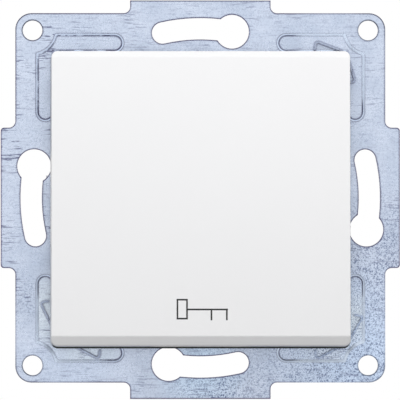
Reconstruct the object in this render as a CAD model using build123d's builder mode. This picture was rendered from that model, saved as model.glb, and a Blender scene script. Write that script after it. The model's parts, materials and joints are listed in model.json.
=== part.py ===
from build123d import *
import math
import os

# Pushbutton insert for a 60 mm flush-mounted wall box, in millimetres.
# X runs right and Z up, and the front faces -Y. The wall's surface is the plane Y = 0,
# and the origin is the centre of the box screws' circle on it. A height is measured
# in front of the wall, so everything inside the wall box has a negative height.

os.makedirs("parts", exist_ok=True)

# Support plate: outline
plate_thickness = 1.0
plate_reach_side = 35.4
plate_reach_up = 35.0
plate_reach_down = 35.65
plate_core_half_width = 32.8
plate_core_half_height = 32.75
plate_corner_radius = 2.9
tab_half_width = 12.45
tab_corner_radius = 0.6
tab_root_fillet = 1.15

# Support plate: holes
corner_hole_diameter = 3.5
corner_hole_pitch_x = 59.5
corner_hole_pitch_z = 59.4
box_screw_circle_diameter = 60.0
slot_width = 3.8
slot_head_diameter = 6.0
slot_head_angle = 10.8
slot_tail_angle = 12.9

# Support plate: pressed corner beads
bead_width = 3.45
bead_reach = 29.2
bead_end_lateral = 13.5
bead_depth = 0.45
bead_wall_angle = 50
bead_hole_room = 2.2
bead_corner_fillet = 0.6

# Support plate: spring tongues that hold the cover frame
tongue_thickness = 0.3
tongue_height = 1.0
tongue_low_height = 0.6
tongue_root_reach = 25.9
tongue_run = 4.8
tongue_hook_lateral = 0.3
tongue_tip_lateral = 0.5
tongue_hook_length = 1.6
tongue_bend_radius = 0.45
tongue_cap_gap = 0.4
# Edge of the plate, side along it, then the apex's two distances as shares of the beads' reach
tongue_apex_shares = [
    ("top", -1, 0.7123, 0.87),
    ("left", 1, 0.7123, 0.89),
    ("top", 1, 0.7123, 0.9521),
    ("right", 1, 0.7158, 0.9418),
    ("left", -1, 0.6438, 0.9726),
    ("bottom", -1, 0.6267, 0.9795),
    ("right", -1, 0.7295, 0.9897),
    ("bottom", 1, 0.7158, 0.9795),
]

# Rocker: pivot, rest tilt and stroke
pivot_height = 4.9
rest_tilt = 3.5
trunnion_radius = 1.25
trunnion_clearance = 0.05
cheek_inner = 13.9
cheek_outer = 15.7
cheek_half_depth = 3.0
trunnion_end = 18.4

# Rocker cap
cap_width = 53.1
cap_flange_room = 1.2
cap_drop = 0.35
cap_skirt_level = -1.35
cap_face_level = 6.3
cap_corner_radius = 1.4
cap_wall = 1.7
cap_face_thickness = 1.6
cap_inner_radius = 0.8
cap_draft_angle = 2.4
cap_crown_height = 0.3
cap_bevel_width = 1.0
cap_bevel_depth = 0.9
cap_lower_bevel_width = 1.65
cap_lower_bevel_depth = 1.1
cap_edge_radius = 0.45
cap_rib_thickness = 0.9
cap_rib_pitch = 12.0
cap_rib_count = 3
cap_rib_length = 38.0

# Snap legs that hold the cap on the carrier
leg_width = 6.0
leg_thickness = 1.2
leg_offset = 9.0
leg_gap = 0.15
hook_depth = 0.7
hook_height = 0.8
hook_gap = 0.1

# Rocker carrier
carrier_half_size = 20.0
carrier_underside = 2.7
carrier_thickness = 1.5
carrier_corner_radius = 2.0
carrier_window_width = 16.0
carrier_window_height = 9.0
carrier_window_offset = 10.0
carrier_rim = 0.8
nose_arm = 10.0
nose_level = 0.4
nose_radius = 1.0
nose_half_width = 2.5
nose_gap = 0.1

# Base housing
base_half_width = 20.3
base_half_height = 18.3
base_corner_cut = 3.0
base_depth = 24.0
base_wall = 1.8
base_floor = 3.5
base_back_chamfer = 0.8
opening_gap = 0.2
flange_reach = 5.0
flange_thickness = 1.2
flange_corner_cut = 3.0
partition_inner = 9.6
partition_thickness = 1.2
partition_half_height = 12.0
post_radius = 2.3
post_height = 3.5
ramp_height = 0.5
ramp_near_height = -4.0
ramp_far_height = -16.0

# Wire terminals
wire_hole_radius = 1.4
wire_offset_x = 13.1
wire_offset_z = 6.5
wire_funnel = 0.7
busbar_thickness = 0.8
busbar_half_height = 11.5
busbar_tab_width = 5.0
busbar_tab_inner = 4.2
clamp_strip = 0.35
clamp_width = 4.0
clamp_wall_gap = 0.15
clamp_bend_radius = 1.0
clamp_floor_gap = 1.7
clamp_back_length = 9.3
clamp_tip_gap = 0.25
clamp_tip_rise = 7.3

# Release levers
lever_inner = 14.8
lever_bar_thickness = 1.2
lever_bar_half_width = 8.3
lever_bar_height = 1.6
lever_stroke = 1.6
lever_stem_width = 2.6
lever_stem_half_height = 1.8
lever_proud = 1.2
lever_gap = 0.15

# Mechanism cover
cover_thickness = 1.2
cover_lip_length = 1.2
cover_lip_wall = 1.2
cover_lip_gap = 0.2
guide_wall = 1.35
guide_clearance = 0.05
pillar_inner = 16.1
pillar_outer = 18.7
pillar_half_width = 2.4
stop_radius = 1.2
stop_offset_x = 10.8
stop_rivet_room = 3.2
stop_gap = 0.15

# Rivets
rivet_radius = 1.5
rivet_bore_radius = 0.9
rivet_head_radius = 2.3
rivet_head_height = 0.5
rivet_tail_radius = 2.1
rivet_tail_depth = 0.6
rivet_offset_x = 13.0
rivet_wall_room = 2.9

# Plunger and contacts
plunger_radius = 3.0
plunger_shoulder_radius = 4.2
plunger_shoulder_top = -0.15
plunger_shoulder_height = 1.1
plunger_stem_radius = 2.0
plunger_stem_end = -9.5
plunger_edge = 0.4
wire_diameter = 0.5
contact_spring_radius = 2.7
contact_spring_turns = 2.5
contact_spring_length = 3.2
bridge_thickness = 0.75
bridge_width = 5.0
bridge_half_length = 7.8
bridge_hole_gap = 0.05
contact_radius = 1.5
contact_edge = 0.15
contact_height = 0.6
contact_offset = 6.0
retainer_radius = 3.4
contact_air_gap = 1.27
fixed_contact_height = 0.8
return_spring_radius = 2.75
return_spring_turns = 8

# Claws
claw_wall_room = 3.1
claw_pitch = 0.75
claw_hole_radius = 1.7
claw_head_radius = 2.6
claw_head_height = 1.8
claw_head_gap = 0.1
claw_head_edge = 0.5
claw_recess_width = 0.8
claw_recess_length = 3.4
claw_recess_depth = 1.1
claw_shank_radius = 1.5
claw_thread_depth = 0.3
claw_thread_start = -2.0
claw_screw_end = -14.0
nut_height = -12.0
nut_thickness = 2.4
nut_width = 5.0
nut_half_length = 3.0
nut_clearance = 0.05
nut_trunnion_radius = 1.0
nut_trunnion_end = 4.3
arm_sheet = 0.8
arm_flange_inner = 3.25
arm_flange_radius = 2.3
arm_hole_clearance = 0.06
arm_web_gap = 0.2
arm_web_start = 1.8
arm_length = 11.0
arm_nose_cut = 1.4
arm_tooth_height = 0.8
arm_tooth_pitch = 1.6
arm_tooth_count = 3

# Heights and sizes worked out from the ones above
plate_front = plate_thickness
slot_circle_radius = box_screw_circle_diameter / 2
opening_half_width = base_half_width + opening_gap
opening_half_height = base_half_height + opening_gap
flange_front = plate_front + flange_thickness
cover_front = flange_front + cover_thickness
bead_floor = plate_front - bead_depth
base_back = -base_depth
floor_top = base_back + base_floor
flange_half_height = base_half_height + flange_reach
cap_height = 2 * (flange_half_height + cap_flange_room + cap_wall)
rivet_offset_z = base_half_height + rivet_wall_room
stop_offset_z = rivet_offset_z - stop_rivet_room
claw_axis_x = base_half_width + claw_wall_room
cavity_half_width = base_half_width - base_wall
cavity_half_height = base_half_height - base_wall
cavity_corner_cut = base_corner_cut - base_wall / 2
carrier_top = carrier_underside + carrier_thickness
tilt = math.radians(rest_tilt)
nose_height = pivot_height + nose_level * math.cos(tilt) + nose_arm * math.sin(tilt)
plunger_top = nose_height - nose_radius - nose_gap
shoulder_bottom = plunger_shoulder_top - plunger_shoulder_height
bridge_top = shoulder_bottom - contact_spring_length
bridge_bottom = bridge_top - bridge_thickness
moving_contact_face = bridge_bottom - contact_height
fixed_contact_face = moving_contact_face - contact_air_gap
busbar_tab_top = fixed_contact_face - fixed_contact_height
busbar_tab_bottom = busbar_tab_top - busbar_thickness
busbar_inner = partition_inner + partition_thickness
busbar_outer = busbar_inner + busbar_thickness
stop_top = (
    pivot_height
    + carrier_underside * math.cos(tilt)
    - (stop_offset_z + stop_radius) * math.sin(tilt)
    - stop_gap
)
guide_bottom = plunger_shoulder_top + nose_gap

# The rocker's own plane: at the pivot, level with the face at rest
rocker_plane = Plane(
    origin=(0, -pivot_height, 0),
    x_dir=(1, 0, 0),
    z_dir=(0, -math.cos(tilt), math.sin(tilt)),
)


def rocker_side(offset_x):
    """The rocker's side plane at an X: its first axis to the front, its second one down."""
    return Plane(origin=(offset_x, -pivot_height, 0), x_dir=rocker_plane.z_dir, z_dir=(1, 0, 0))


def level(height):
    """The plane at a height in front of the wall, seen from the front."""
    return Plane.XZ.offset(height)


def is_at(corner, reach_x, reach_y):
    """True if a corner is at these distances from the two axes, on any side."""
    return math.isclose(abs(corner.X), reach_x) and math.isclose(abs(corner.Y), reach_y)


def cut_corner_points(half_width, half_height, cut):
    """Corners of a rectangle whose corners are cut off at 45 degrees."""
    right = half_width - cut
    top = half_height - cut
    return [
        (half_width, -top),
        (half_width, top),
        (right, half_height),
        (-right, half_height),
        (-half_width, top),
        (-half_width, -top),
        (-right, -half_height),
        (right, -half_height),
    ]


# The sunk room of the pressed beads, with sloping walls
bead_line = bead_reach - bead_width / 2
bead_length = bead_reach - bead_end_lateral
bead_middle = bead_reach - bead_length / 2
with BuildPart() as bead_room:
    for side_x in (-1, 1):
        for side_z in (-1, 1):
            with BuildSketch(level(plate_front)):
                with Locations((side_x * bead_middle, side_z * bead_line)):
                    SlotOverall(bead_length, bead_width)
            extrude(amount=-bead_depth, taper=bead_wall_angle)
            with BuildSketch(level(plate_front)):
                with Locations((side_x * bead_line, side_z * bead_middle)):
                    SlotOverall(bead_length, bead_width, rotation=90)
            extrude(amount=-bead_depth, taper=bead_wall_angle)
    with BuildSketch(level(plate_front)):
        with GridLocations(corner_hole_pitch_x, corner_hole_pitch_z, 2, 2):
            Circle(corner_hole_diameter / 2 + bead_hole_room)
    extrude(amount=-bead_depth, taper=-bead_wall_angle, mode=Mode.SUBTRACT)
    wall_slant = bead_depth / math.cos(math.radians(bead_wall_angle))
    bead_corners = [
        edge
        for edge in bead_room.edges()
        if edge.length < 2 * wall_slant
        and max(abs(edge.center().X), abs(edge.center().Z)) > bead_line
        and min(abs(edge.center().X), abs(edge.center().Z)) > bead_line - corner_hole_diameter
    ]
    fillet(bead_corners, bead_corner_fillet)
corner_beads = bead_room.part


# Support plate: outline with its four tabs
with BuildPart() as support_plate:
    with BuildSketch(level(0)) as plate_outline:
        RectangleRounded(2 * plate_core_half_width, 2 * plate_core_half_height, plate_corner_radius)
        with Locations((0, (plate_reach_up - plate_reach_down) / 2)):
            Rectangle(2 * tab_half_width, plate_reach_up + plate_reach_down)
        Rectangle(2 * plate_reach_side, 2 * tab_half_width)
        tab_roots = [
            corner
            for corner in plate_outline.vertices()
            if is_at(corner, tab_half_width, plate_core_half_height)
            or is_at(corner, plate_core_half_width, tab_half_width)
        ]
        fillet(tab_roots, tab_root_fillet)
        tab_corners = [
            corner for corner in plate_outline.vertices() if math.isclose(abs(corner.X), plate_reach_side)
        ]
        fillet(tab_corners, tab_corner_radius)
    extrude(amount=plate_thickness)

    # Opening for the housing, corner holes, claw screw holes
    with BuildSketch(level(0)):
        Polygon(*cut_corner_points(opening_half_width, opening_half_height, base_corner_cut), align=None)
        with GridLocations(corner_hole_pitch_x, corner_hole_pitch_z, 2, 2):
            Circle(corner_hole_diameter / 2)
        with GridLocations(2 * claw_axis_x, 0, 2, 1):
            Circle(claw_hole_radius)
        with GridLocations(2 * rivet_offset_x, 2 * rivet_offset_z, 2, 2):
            Circle(rivet_radius)
    extrude(amount=plate_thickness, mode=Mode.SUBTRACT)

    # Countersinks for the rivets' tails, flush with the plate's back
    with BuildSketch(level(0)):
        with GridLocations(2 * rivet_offset_x, 2 * rivet_offset_z, 2, 2):
            Circle(rivet_tail_radius)
    tail_taper = math.degrees(math.atan((rivet_tail_radius - rivet_radius) / rivet_tail_depth))
    extrude(amount=rivet_tail_depth, taper=tail_taper, mode=Mode.SUBTRACT)

    # Keyhole slots on the box screws' circle, each turned a quarter from the last
    with BuildSketch(level(0)):
        for quarter in range(4):
            turn = 90 - 90 * quarter
            slot_start = turn - slot_head_angle
            slot_turn = slot_head_angle + slot_tail_angle
            with BuildLine():
                outer_arc = CenterArc((0, 0), slot_circle_radius + slot_width / 2, slot_start, slot_turn)
                inner_arc = CenterArc((0, 0), slot_circle_radius - slot_width / 2, slot_start, slot_turn)
                Line(outer_arc @ 0, inner_arc @ 0)
                Line(outer_arc @ 1, inner_arc @ 1)
            make_face()
            with PolarLocations(slot_circle_radius, 1, start_angle=slot_start):
                Circle(slot_head_diameter / 2)
            with PolarLocations(slot_circle_radius, 1, start_angle=slot_start + slot_turn):
                Circle(slot_width / 2)
    extrude(amount=plate_thickness, mode=Mode.SUBTRACT)

    # Pressed beads: an L at each corner, cut short round the corner hole
    add(corner_beads, mode=Mode.SUBTRACT)

    # Spring tongues: thin strips on edge, hooked back at the end, low under the cap
    edge_turns = {"top": (0, 1), "right": (-90, -1), "bottom": (180, -1), "left": (90, 1)}
    for edge, along, lateral_share, reach_share in tongue_apex_shares:
        apex_lateral = lateral_share * bead_reach
        apex_reach = reach_share * bead_reach
        turn, sense = edge_turns[edge]
        flip = sense * along
        with BuildSketch(Plane(level(bead_floor).location * Location((0, 0, 0), (0, 0, turn)))):
            with BuildLine() as tongue_line:
                FilletPolyline(
                    (flip * (apex_lateral + tongue_run), tongue_root_reach),
                    (flip * (apex_lateral - tongue_hook_lateral), apex_reach),
                    (flip * (apex_lateral - tongue_tip_lateral), apex_reach - tongue_hook_length),
                    radius=tongue_bend_radius,
                )
            trace(tongue_line.line, tongue_thickness)
        extrude(amount=tongue_height)
    with BuildSketch(level(bead_floor + tongue_low_height)):
        with Locations((0, -cap_drop)):
            Rectangle(cap_width + 2 * tongue_cap_gap, cap_height + 2 * tongue_cap_gap)
    extrude(amount=tongue_height, mode=Mode.SUBTRACT)
support_plate.part.label = "support_plate"
export_step(support_plate.part, "parts/support_plate.step")


# Base housing: a tray with a flange on the plate's front
with BuildPart() as base_housing:
    with BuildSketch(level(base_back)):
        Polygon(*cut_corner_points(base_half_width, base_half_height, base_corner_cut), align=None)
    extrude(amount=base_depth + flange_front)
    back_edges = base_housing.faces().sort_by(Axis.Y)[-1].edges()
    chamfer(back_edges, base_back_chamfer)
    with BuildSketch(level(plate_front)):
        Polygon(*cut_corner_points(base_half_width, flange_half_height, flange_corner_cut), align=None)
    extrude(amount=flange_thickness)
    with BuildSketch(level(floor_top)):
        Polygon(*cut_corner_points(cavity_half_width, cavity_half_height, cavity_corner_cut), align=None)
    extrude(amount=flange_front - floor_top, mode=Mode.SUBTRACT)
    with BuildSketch(level(plate_front)):
        with GridLocations(2 * rivet_offset_x, 2 * rivet_offset_z, 2, 2):
            Circle(rivet_radius)
    extrude(amount=flange_thickness, mode=Mode.SUBTRACT)

    # Partitions that carry the busbars, and the return spring's post
    with BuildSketch(level(floor_top)):
        with GridLocations(2 * partition_inner + partition_thickness, 0, 2, 1):
            Rectangle(partition_thickness, 2 * partition_half_height)
    extrude(amount=busbar_tab_bottom - floor_top)
    with BuildSketch(level(floor_top)):
        with Locations((0, -nose_arm)):
            Circle(post_radius)
    extrude(amount=post_height)

    # Wire entries with their funnels, and the release levers' windows
    with BuildSketch(level(base_back)):
        with GridLocations(2 * wire_offset_x, 2 * wire_offset_z, 2, 2):
            Circle(wire_hole_radius)
        with GridLocations(2 * lever_inner + lever_stem_width, 0, 2, 1):
            Rectangle(lever_stem_width + 2 * lever_gap, 2 * (lever_stem_half_height + lever_gap))
    extrude(amount=base_floor, mode=Mode.SUBTRACT)
    with BuildSketch(level(base_back)):
        with GridLocations(2 * wire_offset_x, 2 * wire_offset_z, 2, 2):
            Circle(wire_hole_radius + wire_funnel)
    extrude(amount=wire_funnel, taper=45, mode=Mode.SUBTRACT)

    # Ramps beside each claw
    for side in (-1, 1):
        for end in (-1, 1):
            with BuildSketch(Plane.XY.offset(end * arm_flange_inner)):
                Polygon(
                    (side * base_half_width, -ramp_near_height),
                    (side * (base_half_width + ramp_height), -ramp_near_height),
                    (side * base_half_width, -ramp_far_height),
                    align=None,
                )
            extrude(amount=end * arm_sheet)
base_housing.part.label = "base_housing"
export_step(base_housing.part, "parts/base_housing.step")


# Mechanism cover: closes the housing and carries the rocker and the plunger
with BuildPart() as mechanism_cover:
    with BuildSketch(level(flange_front)):
        Polygon(*cut_corner_points(base_half_width, flange_half_height, flange_corner_cut), align=None)
    extrude(amount=cover_thickness)
    lip_half_width = cavity_half_width - cover_lip_gap
    lip_half_height = cavity_half_height - cover_lip_gap
    with BuildSketch(level(flange_front)):
        Polygon(*cut_corner_points(lip_half_width, lip_half_height, cavity_corner_cut), align=None)
        offset(amount=-cover_lip_wall, kind=Kind.INTERSECTION, mode=Mode.SUBTRACT)
    extrude(amount=-cover_lip_length)
    with BuildSketch(level(guide_bottom)):
        with Locations((0, -nose_arm)):
            Circle(plunger_radius + guide_wall)
    extrude(amount=flange_front - guide_bottom)
    with BuildSketch(level(guide_bottom)):
        with Locations((0, -nose_arm)):
            Circle(plunger_radius + guide_clearance)
    extrude(amount=cover_front - guide_bottom, mode=Mode.SUBTRACT)

    # Bearing pillars with round tops, and the four stops
    pillar_span = pillar_outer - pillar_inner
    for side in (-1, 1):
        with BuildSketch(Plane.YZ.offset(side * pillar_inner)):
            with Locations((-pivot_height, 0)):
                Circle(pillar_half_width)
            with Locations((-(pivot_height + cover_front) / 2, 0)):
                Rectangle(pivot_height - cover_front, 2 * pillar_half_width)
        extrude(amount=side * pillar_span)
        with BuildSketch(Plane.YZ.offset(side * pillar_inner)):
            with Locations((-pivot_height, 0)):
                Circle(trunnion_radius + trunnion_clearance)
        extrude(amount=side * pillar_span, mode=Mode.SUBTRACT)
    with BuildSketch(level(cover_front)):
        with GridLocations(2 * stop_offset_x, 2 * stop_offset_z, 2, 2):
            Circle(stop_radius)
    extrude(amount=stop_top - cover_front)
    with BuildSketch(level(flange_front)):
        with GridLocations(2 * rivet_offset_x, 2 * rivet_offset_z, 2, 2):
            Circle(rivet_radius)
    extrude(amount=cover_thickness, mode=Mode.SUBTRACT)
mechanism_cover.part.label = "mechanism_cover"
export_step(mechanism_cover.part, "parts/mechanism_cover.step")


# Hollow rivets through the cover, the housing's flange and the plate
with BuildPart() as plate_rivets:
    with BuildSketch(Plane.YZ) as rivet_profile:
        Polygon(
            (0, rivet_bore_radius),
            (0, rivet_tail_radius),
            (-rivet_tail_depth, rivet_radius),
            (-cover_front, rivet_radius),
            (-cover_front, rivet_head_radius),
            (-cover_front - rivet_head_height / 2, rivet_head_radius),
            (-cover_front - rivet_head_height, rivet_head_radius - rivet_head_height / 2),
            (-cover_front - rivet_head_height, rivet_bore_radius),
            align=None,
        )
    rivet = revolve(rivet_profile.sketch, Axis.Y, mode=Mode.PRIVATE)
    with Locations(
        *[
            (side_x * rivet_offset_x, 0, side_z * rivet_offset_z)
            for side_x in (-1, 1)
            for side_z in (-1, 1)
        ]
    ):
        add(rivet)
plate_rivets.part.label = "plate_rivets"
export_step(plate_rivets.part, "parts/plate_rivets.step")


# Rocker carrier: a frame with ribs, two cheeks with trunnions, and the plunger's nose
with BuildPart() as rocker_carrier:
    with BuildSketch(rocker_plane.offset(carrier_underside)):
        RectangleRounded(2 * carrier_half_size, 2 * carrier_half_size, carrier_corner_radius)
        with GridLocations(0, 2 * carrier_window_offset, 1, 2):
            RectangleRounded(carrier_window_width, carrier_window_height, carrier_rim, mode=Mode.SUBTRACT)
    extrude(amount=carrier_thickness)
    for side in (-1, 1):
        with BuildSketch(rocker_side(side * cheek_inner)):
            Circle(trunnion_radius)
            Polygon(
                (0, -trunnion_radius),
                (carrier_underside, -cheek_half_depth),
                (carrier_underside, cheek_half_depth),
                (0, trunnion_radius),
                align=None,
            )
        extrude(amount=side * (cheek_outer - cheek_inner))
        with BuildSketch(rocker_side(side * cheek_outer)):
            Circle(trunnion_radius)
        extrude(amount=side * (trunnion_end - cheek_outer))
    with BuildSketch(rocker_side(-nose_half_width)):
        with Locations((nose_level, nose_arm)):
            Circle(nose_radius)
        with Locations(((nose_level + carrier_underside) / 2, nose_arm)):
            Rectangle(carrier_underside - nose_level, 2 * nose_radius)
    extrude(amount=2 * nose_half_width)
    with BuildSketch(rocker_plane.offset(carrier_underside)):
        with Locations((0, -nose_arm)):
            Rectangle(carrier_window_width, 2 * nose_radius)
    extrude(amount=carrier_thickness)
rocker_carrier.part.label = "rocker_carrier"
export_step(rocker_carrier.part, "parts/rocker_carrier.step")


# Rocker cap: a block with drafted walls and round corners, which the outline seen from
# the side gives its bevelled ends and its slightly crowned face
with BuildPart() as rocker_cap:
    cap_depth = cap_face_level - cap_skirt_level
    with BuildSketch(rocker_plane.offset(cap_skirt_level)):
        with Locations((0, -cap_drop)):
            RectangleRounded(cap_width, cap_height, cap_corner_radius)
    extrude(amount=cap_depth, taper=cap_draft_angle)

    edge_level = cap_face_level - cap_crown_height
    bevel_level = edge_level - cap_bevel_depth
    lower_bevel_level = edge_level - cap_lower_bevel_depth
    upper_draft = (bevel_level - cap_skirt_level) * math.tan(math.radians(cap_draft_angle))
    lower_draft = (lower_bevel_level - cap_skirt_level) * math.tan(math.radians(cap_draft_angle))
    upper_end = cap_drop - cap_height / 2
    lower_end = cap_drop + cap_height / 2
    crown_start = upper_end + upper_draft + cap_bevel_width
    crown_end = lower_end - lower_draft - cap_lower_bevel_width
    with BuildSketch(rocker_side(-cap_width)) as side_view:
        with BuildLine():
            ThreePointArc(
                (edge_level, crown_start),
                (cap_face_level, (crown_start + crown_end) / 2),
                (edge_level, crown_end),
            )
            Polyline(
                (edge_level, crown_end),
                (lower_bevel_level, lower_end - lower_draft),
                (cap_skirt_level, lower_end),
                (cap_skirt_level, upper_end),
                (bevel_level, upper_end + upper_draft),
                (edge_level, crown_start),
            )
        make_face()
        fillet([corner for corner in side_view.vertices() if corner.X > 0], cap_edge_radius)
    extrude(amount=2 * cap_width, mode=Mode.INTERSECT)

    # Hollow with its ribs
    inner_level = cap_face_level - cap_face_thickness
    with BuildSketch(rocker_plane.offset(cap_skirt_level)):
        with Locations((0, -cap_drop)):
            RectangleRounded(cap_width - 2 * cap_wall, cap_height - 2 * cap_wall, cap_inner_radius)
    extrude(amount=inner_level - cap_skirt_level, mode=Mode.SUBTRACT)
    with BuildSketch(rocker_plane.offset(carrier_top)):
        with GridLocations(cap_rib_pitch, 0, cap_rib_count, 1):
            Rectangle(cap_rib_thickness, cap_rib_length)
    extrude(amount=inner_level - carrier_top)

    # Snap legs with hooks under the carrier
    leg_inner = carrier_half_size + leg_gap
    leg_end = carrier_underside - hook_gap - hook_height
    for side in (-1, 1):
        for leg_side in (-1, 1):
            with BuildSketch(rocker_plane.offset(leg_end)):
                with Locations((side * (leg_inner + leg_thickness / 2), leg_side * leg_offset)):
                    Rectangle(leg_thickness, leg_width)
            extrude(amount=inner_level - leg_end)
            hook_end = rocker_plane.from_local_coords((0, leg_side * leg_offset - leg_width / 2, 0))
            with BuildSketch(Plane(origin=hook_end, x_dir=rocker_plane.x_dir, z_dir=rocker_plane.y_dir)):
                Polygon(
                    (side * leg_inner, -leg_end),
                    (side * (leg_inner - hook_depth), -leg_end - hook_height),
                    (side * leg_inner, -leg_end - hook_height),
                    align=None,
                )
            extrude(amount=leg_width)
rocker_cap.part.label = "rocker_cap"
export_step(rocker_cap.part, "parts/rocker_cap.step")


# Plunger: a round rod with a shoulder and a stem for the bridge
with BuildPart() as plunger:
    with BuildSketch(level(plunger_stem_end)):
        with Locations((0, -nose_arm)):
            Circle(plunger_stem_radius)
    extrude(amount=plunger_top - plunger_stem_end)
    with BuildSketch(level(shoulder_bottom)):
        with Locations((0, -nose_arm)):
            Circle(plunger_shoulder_radius)
    extrude(amount=plunger_shoulder_height)
    with BuildSketch(level(shoulder_bottom)):
        with Locations((0, -nose_arm)):
            Circle(plunger_radius)
    extrude(amount=plunger_top - shoulder_bottom)
    rod_ends = [plunger.faces().sort_by(Axis.Y)[0], plunger.faces().sort_by(Axis.Y)[-1]]
    chamfer([edge for face in rod_ends for edge in face.edges()], plunger_edge)
plunger.part.label = "plunger"
export_step(plunger.part, "parts/plunger.step")


# Contact spring between the plunger's shoulder and the bridge
coil_height = contact_spring_length - wire_diameter
with BuildPart() as contact_spring:
    with BuildLine() as coil:
        Helix(
            pitch=coil_height / contact_spring_turns,
            height=coil_height,
            radius=contact_spring_radius,
            center=(0, -bridge_top - wire_diameter / 2, -nose_arm),
            direction=(0, -1, 0),
        )
    with BuildSketch(Plane(origin=coil.line @ 0, z_dir=coil.line % 0)):
        Circle(wire_diameter / 2)
    sweep(path=coil.line, is_frenet=True)
contact_spring.part.label = "contact_spring"
export_step(contact_spring.part, "parts/contact_spring.step")


# Contact bridge, its two contacts, and the ring that keeps it on the stem
with BuildPart() as contact_bridge:
    with BuildSketch(level(bridge_bottom)):
        with Locations((0, -nose_arm)):
            Rectangle(2 * bridge_half_length, bridge_width)
            Circle(plunger_stem_radius + bridge_hole_gap, mode=Mode.SUBTRACT)
    extrude(amount=bridge_thickness)
contact_bridge.part.label = "contact_bridge"
export_step(contact_bridge.part, "parts/contact_bridge.step")

with BuildPart() as bridge_contacts:
    with BuildSketch(level(moving_contact_face)):
        with Locations((-contact_offset, -nose_arm), (contact_offset, -nose_arm)):
            Circle(contact_radius)
    extrude(amount=contact_height)
    chamfer(bridge_contacts.faces().sort_by(Axis.Y)[-2:].edges(), contact_edge)
bridge_contacts.part.label = "bridge_contacts"
export_step(bridge_contacts.part, "parts/bridge_contacts.step")

with BuildPart() as bridge_retainer:
    with BuildSketch(level(moving_contact_face)):
        with Locations((0, -nose_arm)):
            Circle(retainer_radius)
            Circle(plunger_stem_radius, mode=Mode.SUBTRACT)
    extrude(amount=contact_height)
bridge_retainer.part.label = "bridge_retainer"
export_step(bridge_retainer.part, "parts/bridge_retainer.step")


# Return spring between the housing's floor and the ring
return_height = moving_contact_face - floor_top - wire_diameter
with BuildPart() as return_spring:
    with BuildLine() as coil:
        Helix(
            pitch=return_height / return_spring_turns,
            height=return_height,
            radius=return_spring_radius,
            center=(0, -floor_top - wire_diameter / 2, -nose_arm),
            direction=(0, -1, 0),
        )
    with BuildSketch(Plane(origin=coil.line @ 0, z_dir=coil.line % 0)):
        Circle(wire_diameter / 2)
    sweep(path=coil.line, is_frenet=True)
return_spring.part.label = "return_spring"
export_step(return_spring.part, "parts/return_spring.step")


# Fixed contacts on the busbars' tabs
with BuildPart() as fixed_contacts:
    with BuildSketch(level(busbar_tab_top)):
        with Locations((-contact_offset, -nose_arm), (contact_offset, -nose_arm)):
            Circle(contact_radius)
    extrude(amount=fixed_contact_height)
    chamfer(fixed_contacts.faces().sort_by(Axis.Y)[:2].edges(), contact_edge)
fixed_contacts.part.label = "fixed_contacts"
export_step(fixed_contacts.part, "parts/fixed_contacts.step")


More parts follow.
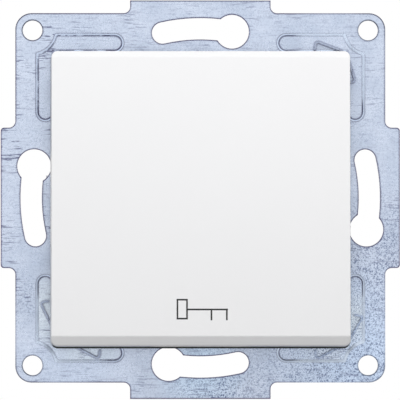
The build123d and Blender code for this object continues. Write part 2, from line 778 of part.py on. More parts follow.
# Left and right: busbars, release levers and claws
bar_far = floor_top + lever_stroke
bar_near = bar_far + lever_bar_height
arm_outer = claw_axis_x + nut_width / 2 + arm_web_gap
arm_back = nut_height - arm_length
for side, side_name in ((-1, "left"), (1, "right")):
    with BuildPart() as busbar:
        with BuildSketch(level(floor_top)):
            with Locations((side * (busbar_inner + busbar_thickness / 2), 0)):
                Rectangle(busbar_thickness, 2 * busbar_half_height)
        extrude(amount=busbar_tab_top - floor_top)
        with BuildSketch(level(busbar_tab_bottom)):
            with Locations((side * (busbar_tab_inner + busbar_inner) / 2, -nose_arm)):
                Rectangle(busbar_inner - busbar_tab_inner, busbar_tab_width)
        extrude(amount=busbar_thickness)
    busbar.part.label = f"busbar_{side_name}"
    export_step(busbar.part, f"parts/busbar_{side_name}.step")

    # Clamp springs: a strip on the housing's wall, bent back against the busbar
    clamp_corner = floor_top + clamp_floor_gap
    clamp_wall = side * (cavity_half_width - clamp_wall_gap - clamp_strip / 2)
    clamp_tip = side * (busbar_outer + clamp_tip_gap + clamp_strip / 2)
    for row, row_name in ((1, "upper"), (-1, "lower")):
        with BuildPart() as clamp_spring:
            with BuildSketch(Plane.XY.offset(row * wire_offset_z - clamp_width / 2)):
                with BuildLine() as strip_line:
                    FilletPolyline(
                        (clamp_wall, -clamp_corner - clamp_back_length),
                        (clamp_wall, -clamp_corner),
                        (clamp_tip, -clamp_corner - clamp_tip_rise),
                        radius=clamp_bend_radius,
                    )
                trace(strip_line.line, clamp_strip)
            extrude(amount=clamp_width)
        clamp_spring.part.label = f"clamp_spring_{side_name}_{row_name}"
        export_step(clamp_spring.part, f"parts/clamp_spring_{side_name}_{row_name}.step")

    # Release lever: a stem through the floor and a bar under both clamp springs
    with BuildPart() as release_lever:
        with BuildSketch(level(base_back - lever_proud)):
            with Locations((side * (lever_inner + lever_stem_width / 2), 0)):
                Rectangle(lever_stem_width, 2 * lever_stem_half_height)
        extrude(amount=bar_near - base_back + lever_proud)
        with BuildSketch(level(bar_far)):
            with Locations((side * (lever_inner + lever_bar_thickness / 2), 0)):
                Rectangle(lever_bar_thickness, 2 * lever_bar_half_width)
        extrude(amount=lever_bar_height)
    release_lever.part.label = f"release_lever_{side_name}"
    export_step(release_lever.part, f"parts/release_lever_{side_name}.step")

    # Claw screw: a turned profile with thread rings, and a cross recess
    head_bottom = plate_front + claw_head_gap
    head_top = head_bottom + claw_head_height
    thread_root = claw_shank_radius - claw_thread_depth
    thread_count = int((claw_thread_start - claw_screw_end - claw_pitch) / claw_pitch)
    with BuildPart() as claw_screw:
        thread_points = []
        for turn in range(thread_count):
            crest = claw_thread_start - (turn + 0.5) * claw_pitch
            thread_points.append((-crest - claw_pitch / 4, thread_root))
            thread_points.append((-crest, claw_shank_radius))
            thread_points.append((-crest + claw_pitch / 4, thread_root))
        with BuildSketch(Plane.XY):
            Polygon(
                (-head_top, 0),
                (-head_top, claw_head_radius - claw_head_edge),
                (-head_top + claw_head_edge, claw_head_radius),
                (-head_bottom, claw_head_radius),
                (-head_bottom, claw_shank_radius),
                (-claw_thread_start, claw_shank_radius),
                *thread_points,
                (-claw_screw_end, thread_root),
                (-claw_screw_end, 0),
                align=None,
                rotation=90,
            )
        revolve(axis=Axis.Y)
        with BuildSketch(level(head_top)):
            Rectangle(claw_recess_length, claw_recess_width)
            Rectangle(claw_recess_width, claw_recess_length)
        extrude(amount=-claw_recess_depth, mode=Mode.SUBTRACT)
    claw_screw_part = claw_screw.part.moved(Location((side * claw_axis_x, 0, 0)))
    claw_screw_part.label = f"claw_screw_{side_name}"
    export_step(claw_screw_part, f"parts/claw_screw_{side_name}.step")

    # Claw nut: a block on the screw with two trunnions
    with BuildPart() as claw_nut:
        with BuildSketch(level(nut_height - nut_thickness / 2)):
            with Locations((side * claw_axis_x, 0)):
                Rectangle(nut_width, 2 * nut_half_length)
        extrude(amount=nut_thickness)
        with BuildSketch(Plane.XY.offset(-nut_trunnion_end)):
            with Locations((side * claw_axis_x, -nut_height)):
                Circle(nut_trunnion_radius)
        extrude(amount=2 * nut_trunnion_end)
        with BuildSketch(level(nut_height - nut_thickness / 2)):
            with Locations((side * claw_axis_x, 0)):
                Circle(claw_shank_radius + nut_clearance)
        extrude(amount=nut_thickness, mode=Mode.SUBTRACT)
    claw_nut.part.label = f"claw_nut_{side_name}"
    export_step(claw_nut.part, f"parts/claw_nut_{side_name}.step")

    # Claw arm: two flanges on the trunnions, an outer web, and teeth
    with BuildPart() as claw_arm:
        for end in (-1, 1):
            with BuildSketch(Plane.XY.offset(end * arm_flange_inner)):
                with Locations((side * claw_axis_x, -nut_height)):
                    Circle(arm_flange_radius)
                Polygon(
                    (side * (claw_axis_x - arm_flange_radius), -nut_height),
                    (side * (claw_axis_x + arm_flange_radius), -nut_height),
                    (side * (arm_outer + arm_sheet), -nut_height + arm_web_start),
                    (side * (arm_outer + arm_sheet), -arm_back),
                    (side * (claw_axis_x - arm_flange_radius + arm_nose_cut), -arm_back),
                    (side * (claw_axis_x - arm_flange_radius), -arm_back - arm_nose_cut),
                    align=None,
                )
                with Locations((side * claw_axis_x, -nut_height)):
                    Circle(nut_trunnion_radius + arm_hole_clearance, mode=Mode.SUBTRACT)
            extrude(amount=end * arm_sheet)
        with BuildSketch(Plane.XY.offset(-arm_flange_inner)):
            Polygon(
                (side * arm_outer, -nut_height + arm_web_start),
                (side * (arm_outer + arm_sheet), -nut_height + arm_web_start),
                (side * (arm_outer + arm_sheet), -arm_back),
                (side * arm_outer, -arm_back),
                align=None,
            )
        extrude(amount=2 * arm_flange_inner)
        with BuildSketch(Plane.XY.offset(-arm_flange_inner - arm_sheet)):
            for tooth in range(arm_tooth_count):
                tooth_back = -arm_back - tooth * arm_tooth_pitch
                Polygon(
                    (side * (arm_outer + arm_sheet), tooth_back),
                    (side * (arm_outer + arm_sheet + arm_tooth_height), tooth_back),
                    (side * (arm_outer + arm_sheet), tooth_back - arm_tooth_pitch),
                    align=None,
                )
        extrude(amount=2 * (arm_flange_inner + arm_sheet))
    claw_arm.part.label = f"claw_arm_{side_name}"
    export_step(claw_arm.part, f"parts/claw_arm_{side_name}.step")
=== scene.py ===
import json
import math

import bpy
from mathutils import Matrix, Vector


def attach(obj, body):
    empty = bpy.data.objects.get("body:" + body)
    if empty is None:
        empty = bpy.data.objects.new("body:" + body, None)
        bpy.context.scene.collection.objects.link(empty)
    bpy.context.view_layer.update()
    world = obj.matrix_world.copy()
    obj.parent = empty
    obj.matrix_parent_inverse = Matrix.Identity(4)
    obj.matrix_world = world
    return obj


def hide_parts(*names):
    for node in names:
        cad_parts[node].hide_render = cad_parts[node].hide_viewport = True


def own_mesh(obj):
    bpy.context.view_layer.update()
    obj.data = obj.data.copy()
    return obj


# A flush pushbutton insert, seen from the front. Everything is in metres, in the frame's
# axes: +X to the right, +Z up, and -Y to the front. The wall's surface is the plane Y = 0.
# Colours are 8-bit sRGB values. A noise is given by its features per metre, its detail, its
# roughness and its stretch, and a window is the part of its values that a mask spreads out.

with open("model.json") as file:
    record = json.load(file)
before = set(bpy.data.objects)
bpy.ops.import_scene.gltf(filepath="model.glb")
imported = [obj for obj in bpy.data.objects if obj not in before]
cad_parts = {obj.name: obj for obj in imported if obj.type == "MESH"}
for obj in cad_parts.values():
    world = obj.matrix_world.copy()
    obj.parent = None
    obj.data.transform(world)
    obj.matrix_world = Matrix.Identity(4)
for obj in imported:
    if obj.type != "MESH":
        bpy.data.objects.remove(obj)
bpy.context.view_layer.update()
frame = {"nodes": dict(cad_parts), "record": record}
nodes = frame["nodes"]

MM = 0.001

# Camera: 71 mm of the object fill the square picture, seen from a little to the left
view_width = 71.0 * MM
view_centre_x = -0.05 * MM
view_centre_z = -0.375 * MM
camera_distance = 1.0
camera_side = -10.5 * MM
camera_clip = 0.01
sensor_width = 36.0

# Key sign on the cap
sign_line = 0.27 * MM
sign_bow_left = -4.27 * MM
sign_bow_right = -2.32 * MM
sign_bow_top = -17.72 * MM
sign_bow_bottom = -21.31 * MM
sign_shaft_z = -19.57 * MM
sign_shaft_right = 4.71 * MM
sign_bits = (1.83 * MM, 4.53 * MM)
sign_bit_bottom = -21.45 * MM
sign_film = 0.015 * MM
sign_step = 0.5 * MM
sign_ray_start = -1.0

# Masks: samples of a rounded edge, the share of a place's reach that is full, and the window
# of most noises
edge_samples = 8
place_core = 0.2
wide_window = (0.3, 0.7)

# Sheet: clouds of zinc, its shine and its fine relief
zinc_dark = (202, 214, 234)
zinc_light = (218, 228, 246)
zinc_metallic = 0.8
zinc_roughness = (0.24, 0.32)
zinc_relief = 0.01 * MM
zinc_relief_strength = 0.6
cloud_noise = (110, 3.0, 0.6)
cloud_window = (0.35, 0.65)
zinc_shine_noise = (400, 3.0)
zinc_relief_noise = (1500, 3.0)

# Painted light on the sheet: lighter, bluer patches that offset the cap's shadow below it, and
# lighter patches on the left and upper left; x and z in millimetres, reach, strength, and the
# colour there
sheet_light_patches = (
    (0.0, -30.0, 9.0, 0.95, (210, 232, 255)),
    (28.0, -28.0, 18.0, 0.95, (212, 230, 255)),
    (-22.0, -30.0, 12.0, 0.8, (220, 233, 255)),
    (-31.0, 10.0, 18.0, 0.5, (222, 232, 250)),
    (-25.0, 29.0, 12.0, 0.3, (226, 237, 255)),
)

# Painted reflections of the white cap on the floors of the beads alone, given the same way; the
# floors begin between these depths
bead_floor_depths = (-0.62 * MM, -0.58 * MM)
cap_reflection_patches = (
    (-28.2, -20.0, 8.0, 0.95, (234, 245, 255)),
    (28.3, -21.5, 6.0, 0.95, (232, 244, 255)),
    (-20.0, -27.3, 8.0, 0.85, (230, 242, 255)),
    (23.0, -27.3, 6.0, 0.85, (228, 240, 255)),
)

# Dark grain: x and z in millimetres, reach, and strength; the first one has no bounds
grain_colour = (68, 86, 128)
grain_noise = (3600, 3.0, 0.8)
grain_window = (0.49, 0.62)
grain_patches = (
    (0.0, 0.0, 0.0, 0.25),
    (26.0, -30.0, 22.0, 0.95),
    (31.0, -10.0, 13.0, 0.85),
    (3.0, -35.0, 10.0, 0.95),
    (-31.0, -18.0, 5.0, 0.4),
)

# Rolling marks
rolled_colour = (168, 181, 205)
rolled_noise = (3600, 2.0, 0.5, (0.06, 1, 1))
rolled_strength = 0.22

# Short dark streaks, in places, and more of them on the left
streak_colour = (96, 100, 134)
streak_noise = (2600, 2.0, 0.6, (0.14, 1, 1.5))
streak_window = (0.57, 0.63)
streak_strength = 0.95
streak_place_noise = (160, 2.0, 0.6)
streak_place_window = (0.42, 0.62)
streak_sides = (-18 * MM, -26 * MM)
streak_side_strengths = (0.5, 0.9)

# Slopes of the beads: how far their normals lean, and the painted light that offsets their shade
slope_flat = (-0.95, -0.9)
slope_upright = (-0.3, -0.4)
slope_light_colour = (214, 230, 255)
slope_light_strength = 0.5
slope_softening = 0.8
slope_highlight_colour = (226, 239, 255)

# Painted shade in dark lines along the beads' bends: from and to which depth in millimetres, and
# strength
bend_shade_colour = (74, 78, 108)
bend_shade_lines = (
    (-0.99, -0.92, 0.4),
    (-0.73, -0.56, 1.0),
)
bend_soft_edge = 0.02 * MM

# Strength of those lines: weak and broken everywhere, more at some places on all four sides,
# and broken at one corner. A place is x and z in millimetres, reach, and strength.
break_noise = (700, 2.0, 0.7)
break_window = (0.40, 0.55)
bend_strength = 0.16
bend_patches = (
    (14.3, 27.6, 4.0, 0.75),
    (27.7, 14.2, 4.0, 0.75),
)
bend_corner = (-25.0, 25.0, 16.0, 0.6)
bend_corner_core = 0.4

# Painted shade along the sheet's edges, and the tongues, which stand out from it
edge_shade_colour = (84, 80, 112)
edge_radius = 0.6 * MM
edge_flat = 0.985
tongue_colour = (124, 142, 172)
tongue_tint = 0.3
tongue_tint_depths = (-1.2 * MM, -1.1 * MM)
tongue_edge_strength = 0.5
tongue_edge_depths = (-1.2 * MM, -1.02 * MM)

# Where those edges' painted shade is faint and the beads' slopes get a painted highlight: x and z
# in millimetres, reach, and strength. Such places, and those of the bends, are full from half way
# in.
highlight_places = (
    (26.0, -26.0, 16.0, 0.75),
    (-26.0, -24.0, 12.0, 0.5),
    (24.0, 24.0, 12.0, 0.4),
)
patch_core = 0.5

# Painted shade on the rims of the corner holes
rim_shade_colour = (50, 56, 74)
rim_place = 30.3 * MM
rim_reach = 4.0 * MM

# Plastics: clouds, painted shade in nooks, which also lose their shine, and a grain over rounded
# edges
plastic_cloud_noise = (60, 2.0)
plastic_shine_noise = (500, 2.0)
plastic_shine_spread = 0.03
plastic_grain_detail = 2.0
plastic_grain_strength = 0.5
plastic_edge_round = 0.2 * MM
nook_reach = 15 * MM
nook_samples = 8
nook_window = (0.45, 0.95)
nook_painted_shade = 0.25
nook_shine_from = 0.2
full_shine = 0.5

# Painted shade on the back of the cap's lower wall: how much a wall looks down, and between which
# depths
underside_shade_colour = (70, 70, 68)
underside_lean = (-0.15, -0.75)
cap_underside_depths = (-11.4 * MM, -8.5 * MM)

# Metals: clouds, drawing lines and painted shade along edges
metal_cloud_noise = (300, 3.0, 0.6)
metal_cloud_spread = 0.12
metal_line_noise = (2500, 2.0, 0.6)
metal_line_height = 0.004 * MM
metal_line_strength = 0.5
metal_smoother = 0.06
metal_rougher = 0.08
metal_metallic = 0.85
metal_edge_radius = 0.08 * MM
metal_edge_shade = 0.6
drawn_along_z = (1, 1, 0.2)
drawn_along_y = (1, 0.2, 1)

# Ink
ink_dark = (16, 16, 18)
ink_light = (34, 34, 36)
ink_noise = (3000, 2.0)
ink_roughness = 0.5

# Floor: greys as linear shares, and the glow that whitens it to the camera
floor_height = -50.0 * MM
floor_size = 0.7
floor_greys = (0.39, 0.42)
floor_noise = (20, 2.0)
floor_roughness = 0.7
floor_glow = 0.46

# Lamps, and the world's fill from its sides
key_place = (0.02, -0.245, 0.22)
key_size = 0.2
key_power = 0.70
back_place = (-0.2, 0.5, 0.35)
back_size = 0.4
back_power = 2.4
fill_side = 0.06
fill_front = 0.78
fill_behind = 0.4
fill_behind_from = 0.3
fill_below = 0.25
fill_below_window = (-0.6, 0.1)


def srgb(red, green, blue):
    """Linear colour from 8-bit sRGB values."""
    channels = []
    for value in (red, green, blue):
        share = value / 255
        channels.append(share / 12.92 if share <= 0.04045 else ((share + 0.055) / 1.055) ** 2.4)
    return (*channels, 1.0)


def dimmed(colour, share):
    """A share of a linear colour."""
    return tuple(channel * share for channel in colour[:3]) + (1.0,)


def new_material(name):
    """An empty node material, its node tree, and its Principled shader."""
    material = bpy.data.materials.new(name)
    material.use_nodes = True
    tree = material.node_tree
    shader = tree.nodes["Principled BSDF"]
    return material, tree, shader


def add_node(tree, kind, **inputs):
    """A node with the values of its inputs, written with underscores for spaces."""
    node = tree.nodes.new(kind)
    for name, value in inputs.items():
        node.inputs[name.replace("_", " ")].default_value = value
    return node


def object_place(tree):
    """The socket of a point's place in object space."""
    return tree.nodes.new("ShaderNodeTexCoord").outputs["Object"]


def components(tree, vector):
    """The X, Y and Z sockets of a vector socket."""
    axes = tree.nodes.new("ShaderNodeSeparateXYZ")
    tree.links.new(vector, axes.inputs[0])
    return axes.outputs


def noise(tree, scale, detail=2.0, roughness=0.5, stretch=(1, 1, 1)):
    """A noise in object space, in features per metre, as its Fac socket."""
    mapping = tree.nodes.new("ShaderNodeMapping")
    mapping.inputs["Scale"].default_value = stretch
    tree.links.new(object_place(tree), mapping.inputs["Vector"])
    texture = add_node(tree, "ShaderNodeTexNoise", Scale=scale, Detail=detail, Roughness=roughness)
    tree.links.new(mapping.outputs["Vector"], texture.inputs["Vector"])
    return texture.outputs["Fac"]


def ramp(tree, socket, low, high, start=0.0, end=1.0):
    """Maps a socket's values from low..high to start..end, clamped."""
    node = tree.nodes.new("ShaderNodeMapRange")
    node.inputs["From Min"].default_value = low
    node.inputs["From Max"].default_value = high
    node.inputs["To Min"].default_value = start
    node.inputs["To Max"].default_value = end
    tree.links.new(socket, node.inputs["Value"])
    return node.outputs["Result"]


def noise_mask(tree, pattern, window, start=0.0, end=1.0):
    """A noise whose window is mapped to start..end."""
    return ramp(tree, noise(tree, *pattern), *window, start, end)


def weaken(tree, mask, strength):
    """A mask from 0 to a strength instead of 1."""
    return ramp(tree, mask, 0.0, 1.0, 0.0, strength)


def invert(tree, mask):
    """0 where a mask is 1, and 1 where it is 0."""
    return ramp(tree, mask, 0.0, 1.0, 1.0, 0.0)


def mix(tree, factor, first, second):
    """A colour between two, each a colour or a socket, by a factor socket."""
    node = tree.nodes.new("ShaderNodeMix")
    node.data_type = "RGBA"
    tree.links.new(factor, node.inputs["Factor"])
    for value, socket in ((first, node.inputs["A"]), (second, node.inputs["B"])):
        if isinstance(value, bpy.types.NodeSocket):
            tree.links.new(value, socket)
        else:
            socket.default_value = value
    return node.outputs["Result"]


def multiply(tree, first, second):
    """The product of two value sockets."""
    node = tree.nodes.new("ShaderNodeMath")
    node.operation = "MULTIPLY"
    tree.links.new(first, node.inputs[0])
    tree.links.new(second, node.inputs[1])
    return node.outputs[0]


def add(tree, first, second, clamp=False):
    """The sum of two value sockets."""
    node = tree.nodes.new("ShaderNodeMath")
    node.use_clamp = clamp
    tree.links.new(first, node.inputs[0])
    tree.links.new(second, node.inputs[1])
    return node.outputs[0]


def vector_math(tree, operation, first, second=None):
    """The outputs of a vector operation on a socket and a second socket or a fixed vector."""
    node = tree.nodes.new("ShaderNodeVectorMath")
    node.operation = operation
    tree.links.new(first, node.inputs[0])
    if isinstance(second, bpy.types.NodeSocket):
        tree.links.new(second, node.inputs[1])
    elif second:
        node.inputs[1].default_value = second
    return node.outputs


def bump(tree, shader, height, distance, strength, edge_round=0.0):
    """Adds a bump of a real height in metres to a shader, over edges rounded by a radius."""
    node = tree.nodes.new("ShaderNodeBump")
    node.inputs["Distance"].default_value = distance
    node.inputs["Strength"].default_value = strength
    tree.links.new(height, node.inputs["Height"])
    if edge_round:
        rounded = add_node(tree, "ShaderNodeBevel", Radius=edge_round)
        rounded.samples = edge_samples
        tree.links.new(rounded.outputs["Normal"], node.inputs["Normal"])
    tree.links.new(node.outputs["Normal"], shader.inputs["Normal"])


def soften(tree, shader, mask, share):
    """Turns the shading of a mask's surfaces towards the sheet's front, under the shader's bump."""
    geometry = tree.nodes.new("ShaderNodeNewGeometry")
    node = tree.nodes.new("ShaderNodeMix")
    node.data_type = "VECTOR"
    vectors = [socket for socket in node.inputs if socket.type == "VECTOR"]
    tree.links.new(weaken(tree, mask, share), node.inputs["Factor"])
    tree.links.new(geometry.outputs["Normal"], vectors[-2])
    vectors[-1].default_value = (0, -1, 0)
    result = [socket for socket in node.outputs if socket.type == "VECTOR"][0]
    tree.links.new(result, shader.inputs["Normal"].links[0].from_node.inputs["Normal"])


def edge_mask(tree, radius, flat=0.995, sharp=0.92):
    """1 within about a radius of a sharp edge, and 0 elsewhere."""
    rounded = add_node(tree, "ShaderNodeBevel", Radius=radius)
    rounded.samples = edge_samples
    true_normal = tree.nodes.new("ShaderNodeNewGeometry").outputs["Normal"]
    likeness = vector_math(tree, "DOT_PRODUCT", rounded.outputs["Normal"], true_normal)["Value"]
    return ramp(tree, likeness, flat, sharp)


def near(tree, x, z, reach, mirrored=False):
    """1 at a place of the front view in object space, falling to 0 at a reach round it.

    A mirrored place counts on either side of the object's middle, and above and below it.
    """
    place = object_place(tree)
    if mirrored:
        place = vector_math(tree, "ABSOLUTE", place)["Vector"]
    flat = vector_math(tree, "MULTIPLY", place, (1, 0, 1))["Vector"]
    distance = vector_math(tree, "DISTANCE", flat, (x, 0, z))["Value"]
    return ramp(tree, distance, reach, place_core * reach)


def patch(tree, x, z, reach, strength, core=1.0, mirrored=False):
    """A strength round a place in millimetres, full where near() is above the core."""
    closeness = near(tree, x * MM, z * MM, reach * MM, mirrored)
    return ramp(tree, closeness, 0.0, core, 0.0, strength)


def along(tree, axis, first, last, start, end):
    """A value that changes along one of the object's axes, from a first place to a last one."""
    return ramp(tree, components(tree, object_place(tree))[axis], first, last, start, end)


def depth_band(tree, outer, inner, strength):
    """A strength between two depths of the object's Y, and 0 beyond them."""
    rise = along(tree, "Y", outer - bend_soft_edge, outer, 0.0, strength)
    fall = along(tree, "Y", inner, inner + bend_soft_edge, 1.0, 0.0)
    return multiply(tree, rise, fall)


def facing(tree, normal, axis, low, high):
    """Maps one component of a surface's normal from low..high to 0..1."""
    geometry = tree.nodes.new("ShaderNodeNewGeometry")
    return ramp(tree, components(tree, geometry.outputs[normal])[axis], low, high)


def bead_slope(tree):
    """1 on the sloping walls of the beads, and 0 on faces square to the sheet."""
    flat = facing(tree, "True Normal", "Y", *slope_flat)
    upright = facing(tree, "True Normal", "Y", *slope_upright)
    return multiply(tree, flat, upright)


def sheet_clouds(tree):
    """Cloudy zinc, with painted light on the sheet and painted reflections of the cap on the beads'
    floors.
    """
    clouds = noise_mask(tree, cloud_noise, cloud_window)
    tone = mix(tree, clouds, srgb(*zinc_dark), srgb(*zinc_light))
    # Painted light: lighter, bluer patches that offset the cap's shadow below it, and lighten the
    # left and upper left
    for x, z, reach, strength, colour in sheet_light_patches:
        tone = mix(tree, patch(tree, x, z, reach, strength), tone, srgb(*colour))
    sunk = along(tree, "Y", *bead_floor_depths, 0.0, 1.0)
    # Painted reflections of the white cap on the beads' floors
    for x, z, reach, strength, colour in cap_reflection_patches:
        on_floor = multiply(tree, patch(tree, x, z, reach, strength), sunk)
        tone = mix(tree, on_floor, tone, srgb(*colour))
    return tone


def sheet_marks(tree, tone):
    """Adds dark grain, rolling marks and short streaks to the sheet's tone."""
    for x, z, reach, strength in grain_patches:
        grain = noise_mask(tree, grain_noise, grain_window, 0.0, strength)
        if reach:
            grain = multiply(tree, grain, near(tree, x * MM, z * MM, reach * MM))
        tone = mix(tree, grain, tone, srgb(*grain_colour))
    rolled = noise_mask(tree, rolled_noise, wide_window, 0.0, rolled_strength)
    tone = mix(tree, rolled, tone, srgb(*rolled_colour))
    streaks = noise_mask(tree, streak_noise, streak_window, 0.0, streak_strength)
    places = noise_mask(tree, streak_place_noise, streak_place_window)
    places = multiply(tree, places, along(tree, "X", *streak_sides, *streak_side_strengths))
    return mix(tree, multiply(tree, streaks, places), tone, srgb(*streak_colour))


def sheet_bends(tree, tone, slope):
    """Paints light and highlights on the beads' slopes, and painted shade in dark lines along their
    bends.
    """
    # Painted light on the beads' slopes offsets their shade, and painted highlights light them at
    # some places
    tone = mix(tree, weaken(tree, slope, slope_light_strength), tone, srgb(*slope_light_colour))
    for x, z, reach, strength in highlight_places:
        light = multiply(tree, slope, patch(tree, x, z, reach, strength, patch_core))
        tone = mix(tree, light, tone, srgb(*slope_highlight_colour))
    breaks = noise_mask(tree, break_noise, break_window)
    share = weaken(tree, breaks, bend_strength)
    for x, z, reach, strength in bend_patches:
        share = add(tree, share, patch(tree, x, z, reach, strength, patch_core, mirrored=True))
    corner = patch(tree, *bend_corner, bend_corner_core)
    share = add(tree, share, multiply(tree, corner, breaks))
    # Painted shade: dark lines along the bends, broken in places
    dark = multiply(tree, slope, share)
    for outer, inner, strength in bend_shade_lines:
        line = multiply(tree, dark, depth_band(tree, outer * MM, inner * MM, strength))
        tone = mix(tree, line, tone, srgb(*bend_shade_colour))
    return tone


def sheet_edges(tree, tone):
    """Tints the tongues, and paints shade along the sheet's edges and on the rims of its corner
    holes.
    """
    tint = along(tree, "Y", *tongue_tint_depths, tongue_tint, 0.0)
    tone = mix(tree, tint, tone, srgb(*tongue_colour))
    # Painted shade along the sheet's edges, weaker on the tongues and at the highlight places
    edges = edge_mask(tree, edge_radius, edge_flat)
    dark = multiply(tree, edges, along(tree, "Y", *tongue_edge_depths, tongue_edge_strength, 1.0))
    for x, z, reach, strength in highlight_places:
        dark = multiply(tree, dark, invert(tree, patch(tree, x, z, reach, strength, patch_core)))
    tone = mix(tree, dark, tone, srgb(*edge_shade_colour))
    # Painted shade on the rims of the corner holes
    rims = near(tree, rim_place, rim_place, rim_reach, mirrored=True)
    return mix(tree, multiply(tree, edges, rims), tone, srgb(*rim_shade_colour))


def galvanised_sheet():
    """Bluish zinc with cloudy patches, fine dark grain and short streaks, with painted light,
    highlights and reflections, and painted shade at its bends, edges and hole rims.
    """
    material, tree, shader = new_material("galvanised_sheet")
    slope = bead_slope(tree)
    tone = sheet_marks(tree, sheet_clouds(tree))
    tone = sheet_edges(tree, sheet_bends(tree, tone, slope))
    tree.links.new(tone, shader.inputs["Base Color"])
    shader.inputs["Metallic"].default_value = zinc_metallic
    shine = noise_mask(tree, zinc_shine_noise, wide_window, *zinc_roughness)
    tree.links.new(shine, shader.inputs["Roughness"])
    bump(tree, shader, noise(tree, *zinc_relief_noise), zinc_relief, zinc_relief_strength)
    soften(tree, shader, slope, slope_softening)
    return material


def underside(tree, depths):
    """A mask for painted shade that grows from 0 to 1 between two depths, on walls that look down.
    """
    down = facing(tree, "Normal", "Z", *underside_lean)
    return multiply(tree, down, along(tree, "Y", *depths, 0.0, 1.0))


def plastic(name, colour, roughness, grain_scale, grain_height, spread=0.04, underside_depths=None):
    """Moulded plastic with a fine surface grain, and painted shade in its nooks."""
    material, tree, shader = new_material(name)
    clouds = noise_mask(tree, plastic_cloud_noise, wide_window)
    tone = mix(tree, clouds, dimmed(colour, 1 - spread), colour)
    # Painted shade in the nooks, found by ambient occlusion, which also takes their shine away
    shade = add_node(tree, "ShaderNodeAmbientOcclusion", Distance=nook_reach)
    shade.samples = nook_samples
    open_air = ramp(tree, shade.outputs["AO"], *nook_window)
    tone = mix(tree, open_air, dimmed(colour, nook_painted_shade), tone)
    level = ramp(tree, open_air, nook_shine_from, 1.0, 0.0, full_shine)
    if underside_depths:
        # Painted shade on the back of the walls that look down, without shine
        under = underside(tree, underside_depths)
        tone = mix(tree, under, tone, srgb(*underside_shade_colour))
        level = multiply(tree, level, invert(tree, under))
    tree.links.new(tone, shader.inputs["Base Color"])
    tree.links.new(level, shader.inputs["Specular IOR Level"])
    smoothest = roughness - plastic_shine_spread
    roughest = roughness + plastic_shine_spread
    shine = noise_mask(tree, plastic_shine_noise, wide_window, smoothest, roughest)
    tree.links.new(shine, shader.inputs["Roughness"])
    grain = noise(tree, grain_scale, plastic_grain_detail)
    bump(tree, shader, grain, grain_height, plastic_grain_strength, plastic_edge_round)
    return material


def metal(name, colour, roughness, drawn=(1, 1, 1)):
    """Bare or plated metal with fine drawing lines, a cloudy tone and painted shade along its
    edges.
    """
    material, tree, shader = new_material(name)
    clouds = noise_mask(tree, metal_cloud_noise, cloud_window)
    tone = mix(tree, clouds, dimmed(colour, 1 - metal_cloud_spread), colour)
    # Painted shade along the metal's sharp edges
    tone = mix(tree, edge_mask(tree, metal_edge_radius), tone, dimmed(colour, metal_edge_shade))
    tree.links.new(tone, shader.inputs["Base Color"])
    shader.inputs["Metallic"].default_value = metal_metallic
    lines = noise(tree, *metal_line_noise, drawn)
    shine = ramp(tree, lines, *wide_window, roughness - metal_smoother, roughness + metal_rougher)
    tree.links.new(shine, shader.inputs["Roughness"])
    bump(tree, shader, lines, metal_line_height, metal_line_strength)
    return material


def ink():
    """Printed near-black ink, a little uneven."""
    material, tree, shader = new_material("sign_ink")
    tone = mix(tree, noise_mask(tree, ink_noise, cloud_window), srgb(*ink_dark), srgb(*ink_light))
    tree.links.new(tone, shader.inputs["Base Color"])
    shader.inputs["Roughness"].default_value = ink_roughness
    return material


def make_finishes():
    """The material of each slot. A plastic's grain is its features per metre and its height."""
    return {
        "plate_steel": galvanised_sheet(),
        "white_plastic": plastic(
            "white_cap", srgb(240, 240, 241), roughness=0.34, grain_scale=2500,
            grain_height=0.002 * MM, spread=0.006, underside_depths=cap_underside_depths,
        ),
        "grey_plastic": plastic(
            "grey_acetal", srgb(196, 198, 200), roughness=0.45, grain_scale=2500,
            grain_height=0.004 * MM,
        ),
        "cover_plastic": plastic(
            "grey_cover", srgb(186, 188, 191), roughness=0.5, grain_scale=1800,
            grain_height=0.008 * MM,
        ),
        "housing_plastic": plastic(
            "dark_housing", srgb(58, 60, 62), roughness=0.5, grain_scale=1500,
            grain_height=0.012 * MM, spread=0.1,
        ),
        "lever_plastic": plastic(
            "orange_lever", srgb(226, 124, 38), roughness=0.42, grain_scale=2200,
            grain_height=0.004 * MM,
        ),
        "rivet_steel": metal("rivet_zinc", srgb(196, 202, 212), roughness=0.36),
        "spring_steel": metal(
            "spring_steel", srgb(190, 191, 193), roughness=0.28, drawn=drawn_along_z,
        ),
        "screw_steel": metal("screw_zinc", srgb(205, 209, 216), roughness=0.3),
        "claw_steel": metal(
            "claw_zinc", srgb(196, 201, 210), roughness=0.36, drawn=drawn_along_y,
        ),
        "brass": metal("brass", srgb(212, 180, 108), roughness=0.3, drawn=drawn_along_z),
        "contact_silver": metal("contact_silver", srgb(222, 221, 214), roughness=0.35),
    }


def paint_nodes():
    """Gives every CAD node its material."""
    finishes = make_finishes()
    for part in frame["record"]["subparts"]:
        node = nodes[part["node"]]
        node.data.materials.clear()
        node.data.materials.append(finishes[part["material_slot"]])


def give_spring(node_name):
    """Shows a spring as a piece of its own, on the insert's body, in place of its CAD node."""
    node = nodes[node_name]
    piece = bpy.data.objects.new(node_name + "_flexing", node.data.copy())
    bpy.context.scene.collection.objects.link(piece)
    piece.matrix_world = node.matrix_world
    bpy.context.view_layer.update()
    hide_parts(node_name)
    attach(piece, "insert")
    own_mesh(piece)


def make_springs():
    """The return spring under the plunger, and the clamp springs that the release levers push."""
    give_spring("return_spring")
    for side in ("left", "right"):
        for row in ("upper", "lower"):
            spring = f"clamp_spring_{side}_{row}"
            give_spring(spring)


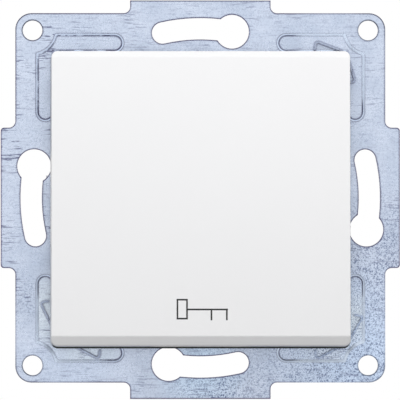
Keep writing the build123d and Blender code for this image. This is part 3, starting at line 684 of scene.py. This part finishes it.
def cap_surface(x, z):
    """The point of the cap's face behind a place in the front view, lifted by the ink's film."""
    start = Vector((x, sign_ray_start, z))
    hit, place, normal, _ = nodes["rocker_cap"].ray_cast(start, Vector((0, 1, 0)))
    if not hit:
        raise ValueError("the sign runs off the cap")
    return place + normal * sign_film


def sign_strip(vertices, faces, left, right, bottom, top):
    """Adds a rectangle that follows the cap's face to a mesh's lists."""
    columns = max(1, math.ceil((right - left) / sign_step))
    rows = max(1, math.ceil((top - bottom) / sign_step))
    first = len(vertices)
    for row in range(rows + 1):
        for column in range(columns + 1):
            x = left + (right - left) * column / columns
            z = bottom + (top - bottom) * row / rows
            vertices.append(cap_surface(x, z))
    for row in range(rows):
        for column in range(columns):
            corner = first + row * (columns + 1) + column
            faces.append((corner, corner + 1, corner + columns + 2, corner + columns + 1))


def make_sign():
    """The printed key sign: a bow, a shaft and two bits."""
    half = sign_line / 2
    inner_left = sign_bow_left + sign_line
    inner_right = sign_bow_right - sign_line
    strips = [
        (sign_bow_left, inner_left, sign_bow_bottom, sign_bow_top),
        (inner_right, sign_bow_right, sign_bow_bottom, sign_bow_top),
        (inner_left, inner_right, sign_bow_top - sign_line, sign_bow_top),
        (inner_left, inner_right, sign_bow_bottom, sign_bow_bottom + sign_line),
        (sign_bow_right, sign_shaft_right, sign_shaft_z - half, sign_shaft_z + half),
    ]
    for bit in sign_bits:
        strips.append((bit - half, bit + half, sign_bit_bottom, sign_shaft_z - half))
    vertices = []
    faces = []
    for strip in strips:
        sign_strip(vertices, faces, *strip)
    mesh = bpy.data.meshes.new("key_sign")
    mesh.from_pydata(vertices, [], faces)
    mesh.materials.append(ink())
    sign = bpy.data.objects.new("key_sign", mesh)
    bpy.context.scene.collection.objects.link(sign)
    film = sign.modifiers.new("film", "SOLIDIFY")
    film.thickness = sign_film
    film.offset = -1
    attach(sign, "rocker")


def camera_white(tree):
    """1 for camera, glossy and transmission rays, and 0 for those that light the object."""
    path = tree.nodes.new("ShaderNodeLightPath")
    total = path.outputs["Is Camera Ray"]
    for name in ("Is Glossy Ray", "Is Transmission Ray"):
        total = add(tree, total, path.outputs[name], clamp=True)
    return total


def make_world():
    """A white backdrop to the camera and in reflections, and a soft fill, weaker from below."""
    world = bpy.data.worlds.new("studio")
    bpy.context.scene.world = world
    world.use_nodes = True
    tree = world.node_tree
    tree.nodes.clear()
    output = tree.nodes.new("ShaderNodeOutputWorld")
    seen = add_node(tree, "ShaderNodeBackground", Color=(1, 1, 1, 1), Strength=1.0)
    fill = add_node(tree, "ShaderNodeBackground", Color=(1, 1, 1, 1))
    place = tree.nodes.new("ShaderNodeTexCoord")
    direction = components(tree, place.outputs["Generated"])
    front = ramp(tree, direction["Y"], -1.0, 0.0, fill_side + fill_front, fill_side)
    behind = ramp(tree, direction["Y"], 0.0, fill_behind_from, 0.0, fill_behind)
    below = ramp(tree, direction["Z"], *fill_below_window, fill_below, 1.0)
    tree.links.new(multiply(tree, add(tree, front, behind), below), fill.inputs["Strength"])
    choice = tree.nodes.new("ShaderNodeMixShader")
    tree.links.new(camera_white(tree), choice.inputs[0])
    tree.links.new(fill.outputs[0], choice.inputs[1])
    tree.links.new(seen.outputs[0], choice.inputs[2])
    tree.links.new(choice.outputs[0], output.inputs["Surface"])


def make_floor():
    """A pale floor under the object that catches its shadow."""
    bpy.ops.mesh.primitive_plane_add(size=floor_size, location=(0, 0, floor_height))
    floor = bpy.context.object
    floor.name = "floor"
    material, tree, shader = new_material("pale_floor")
    dark, light = ((grey, grey, grey, 1) for grey in floor_greys)
    tone = mix(tree, noise_mask(tree, floor_noise, wide_window), dark, light)
    tree.links.new(tone, shader.inputs["Base Color"])
    shader.inputs["Roughness"].default_value = floor_roughness
    shader.inputs["Emission Color"].default_value = (1, 1, 1, 1)
    glow = weaken(tree, camera_white(tree), floor_glow)
    tree.links.new(glow, shader.inputs["Emission Strength"])
    floor.data.materials.append(material)


def soft_lamp(name, place, size, power, glossy):
    """A round soft lamp that points at the object, with or without its own highlight."""
    lamp = bpy.data.lights.new(name, "AREA")
    lamp.shape = "DISK"
    lamp.size = size
    lamp.energy = power
    holder = bpy.data.objects.new(name, lamp)
    holder.location = place
    holder.rotation_euler = (-Vector(place)).to_track_quat("-Z", "Y").to_euler()
    holder.visible_camera = False
    holder.visible_glossy = glossy
    bpy.context.scene.collection.objects.link(holder)


def make_lamps():
    """One lamp near the front, above it, and one farther behind for the back."""
    soft_lamp("key", key_place, key_size, key_power, False)
    soft_lamp("back", back_place, back_size, back_power, True)


def make_camera():
    """The photograph's front view, turned to the object from a little to the left."""
    data = bpy.data.cameras.new("camera")
    data.sensor_width = sensor_width
    data.lens = sensor_width * camera_distance / view_width
    data.clip_start = camera_clip
    camera = bpy.data.objects.new("camera", data)
    camera.location = (view_centre_x + camera_side, -camera_distance, view_centre_z)
    camera.rotation_euler = (math.pi / 2, 0, math.atan2(camera_side, camera_distance))
    bpy.context.scene.collection.objects.link(camera)
    bpy.context.scene.camera = camera


bpy.context.scene.view_settings.view_transform = "Standard"
make_camera()
make_world()
make_lamps()
make_floor()
paint_nodes()
make_springs()
make_sign()
